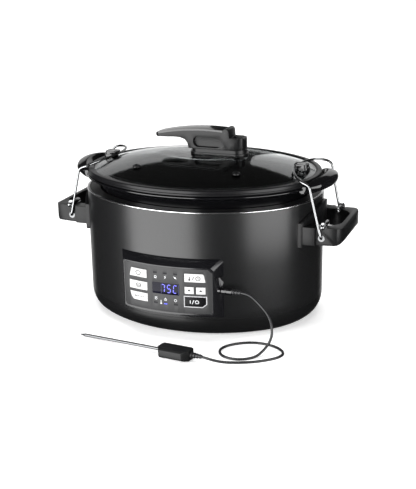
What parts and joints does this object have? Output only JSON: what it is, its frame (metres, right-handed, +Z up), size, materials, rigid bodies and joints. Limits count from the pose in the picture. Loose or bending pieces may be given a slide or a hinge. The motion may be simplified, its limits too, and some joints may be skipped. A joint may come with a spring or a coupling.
{
  "type": "slow cooker",
  "caption": "Oval slow cooker with a lift-out pot, a glass lid held by swinging wire latches, a front control panel and a corded food probe.",
  "frame": {"origin": "on the table, under the centre of the body", "axes": "+X to the user's right, -Y is the front with the control panel, +Z up"},
  "size_m": [0.4368, 0.3683, 0.2636],
  "materials": {
    "base_plastic": "satin",
    "cover_sheet": "matte",
    "rubber": "matte",
    "screw_steel": "satin",
    "shell_paint": "satin metallic",
    "trim_steel": "polished",
    "well_aluminium": "satin",
    "heater": "matte",
    "blanket": "matte",
    "spring_steel": "polished",
    "board": "satin",
    "white_plastic": "satin",
    "black_plastic": "satin",
    "gloss_black": "gloss",
    "fascia_grey": "satin",
    "window": "gloss",
    "button_white": "satin",
    "chrome": "polished",
    "stoneware": "gloss glaze",
    "lid_glass": "clear",
    "seal": "satin"
  },
  "bodies": {
    "housing": {"base_tray": "base_plastic", "bottom_cover": "cover_sheet", "rubber_feet": "rubber", "bottom_cover_screws": "screw_steel", "outer_shell": "shell_paint", "rim_trim_ring": "trim_steel", "heating_well": "well_aluminium", "heating_band": "heater", "insulation_blanket": "blanket", "temperature_sensor": "well_aluminium", "sensor_spring": "spring_steel", "sensor_bracket": "screw_steel", "thermal_fuse": "heater", "power_board": "board", "terminal_block": "white_plastic", "cord_gland": "rubber", "handle_left": "black_plastic", "handle_right": "black_plastic", "handle_flanges": "black_plastic", "handle_screws": "screw_steel", "detent_pins": "chrome", "latch_bushes": "screw_steel", "panel_bezel": "gloss_black", "panel_fascia": "fascia_grey", "display_lens": "gloss_black", "display_module": "white_plastic", "status_windows": "window", "power_button_rim": "chrome", "control_board": "board", "board_screws": "screw_steel", "tact_switches": "black_plastic", "probe_jack": "screw_steel", "probe_plug": "screw_steel", "probe_plug_relief": "rubber", "probe_cord": "rubber", "probe_handle_relief": "rubber", "probe_handle": "black_plastic", "probe_needle": "screw_steel"},
    "pot": {"cooking_pot": "stoneware"},
    "lid": {"glass_lid": "lid_glass", "lid_rim_band": "black_plastic", "lid_seal": "seal", "lid_hooks": "gloss_black", "hook_rivets": "chrome", "steam_vents": "screw_steel", "lid_handle_base": "black_plastic", "lid_handle": "black_plastic", "lid_handle_top": "gloss_black", "lid_handle_screws": "screw_steel", "probe_port_sleeve": "seal"},
    "latch_left": {"wire_latch_left": "chrome"},
    "latch_right": {"wire_latch_right": "chrome"},
    "key_cook": {"button_cook": "button_white"},
    "key_warm": {"button_warm": "button_white"},
    "key_probe": {"button_probe": "button_white"},
    "key_timer": {"button_timer": "button_white"},
    "key_down": {"button_down": "button_white"},
    "key_up": {"button_up": "button_white"},
    "key_power": {"button_power": "gloss_black"}
  },
  "joints": [
    {"name": "pot_lift", "type": "slide", "parent": "housing", "child": "pot", "axis": [0, 0, 1], "range_m": [0, 0.16]},
    {"name": "lid_lift", "type": "slide", "parent": "pot", "child": "lid", "axis": [0, 0, 1], "range_m": [0, 0.12]},
    {"name": "latch_left_swing", "type": "hinge", "parent": "housing", "child": "latch_left", "pos_m": [-0.1873, 0, 0.1323], "axis": [0, -1, 0], "range_deg": [0, 165], "deforming": ["wire_latch_left"]},
    {"name": "latch_right_swing", "type": "hinge", "parent": "housing", "child": "latch_right", "pos_m": [0.1873, 0, 0.1323], "axis": [0, 1, 0], "range_deg": [0, 165], "deforming": ["wire_latch_right"]},
    {"name": "cook_press", "type": "slide", "parent": "housing", "child": "key_cook", "axis": [0, 1, 0], "range_m": [0, 0.001], "stiffness_N_per_m": 600},
    {"name": "warm_press", "type": "slide", "parent": "housing", "child": "key_warm", "axis": [0, 1, 0], "range_m": [0, 0.001], "stiffness_N_per_m": 600},
    {"name": "probe_press", "type": "slide", "parent": "housing", "child": "key_probe", "axis": [0, 1, 0], "range_m": [0, 0.001], "stiffness_N_per_m": 600},
    {"name": "timer_press", "type": "slide", "parent": "housing", "child": "key_timer", "axis": [0, 1, 0], "range_m": [0, 0.001], "stiffness_N_per_m": 600},
    {"name": "down_press", "type": "slide", "parent": "housing", "child": "key_down", "axis": [0, 1, 0], "range_m": [0, 0.001], "stiffness_N_per_m": 600},
    {"name": "up_press", "type": "slide", "parent": "housing", "child": "key_up", "axis": [0, 1, 0], "range_m": [0, 0.001], "stiffness_N_per_m": 600},
    {"name": "power_press", "type": "slide", "parent": "housing", "child": "key_power", "axis": [0, 1, 0], "range_m": [0, 0.001], "stiffness_N_per_m": 600}
  ]
}
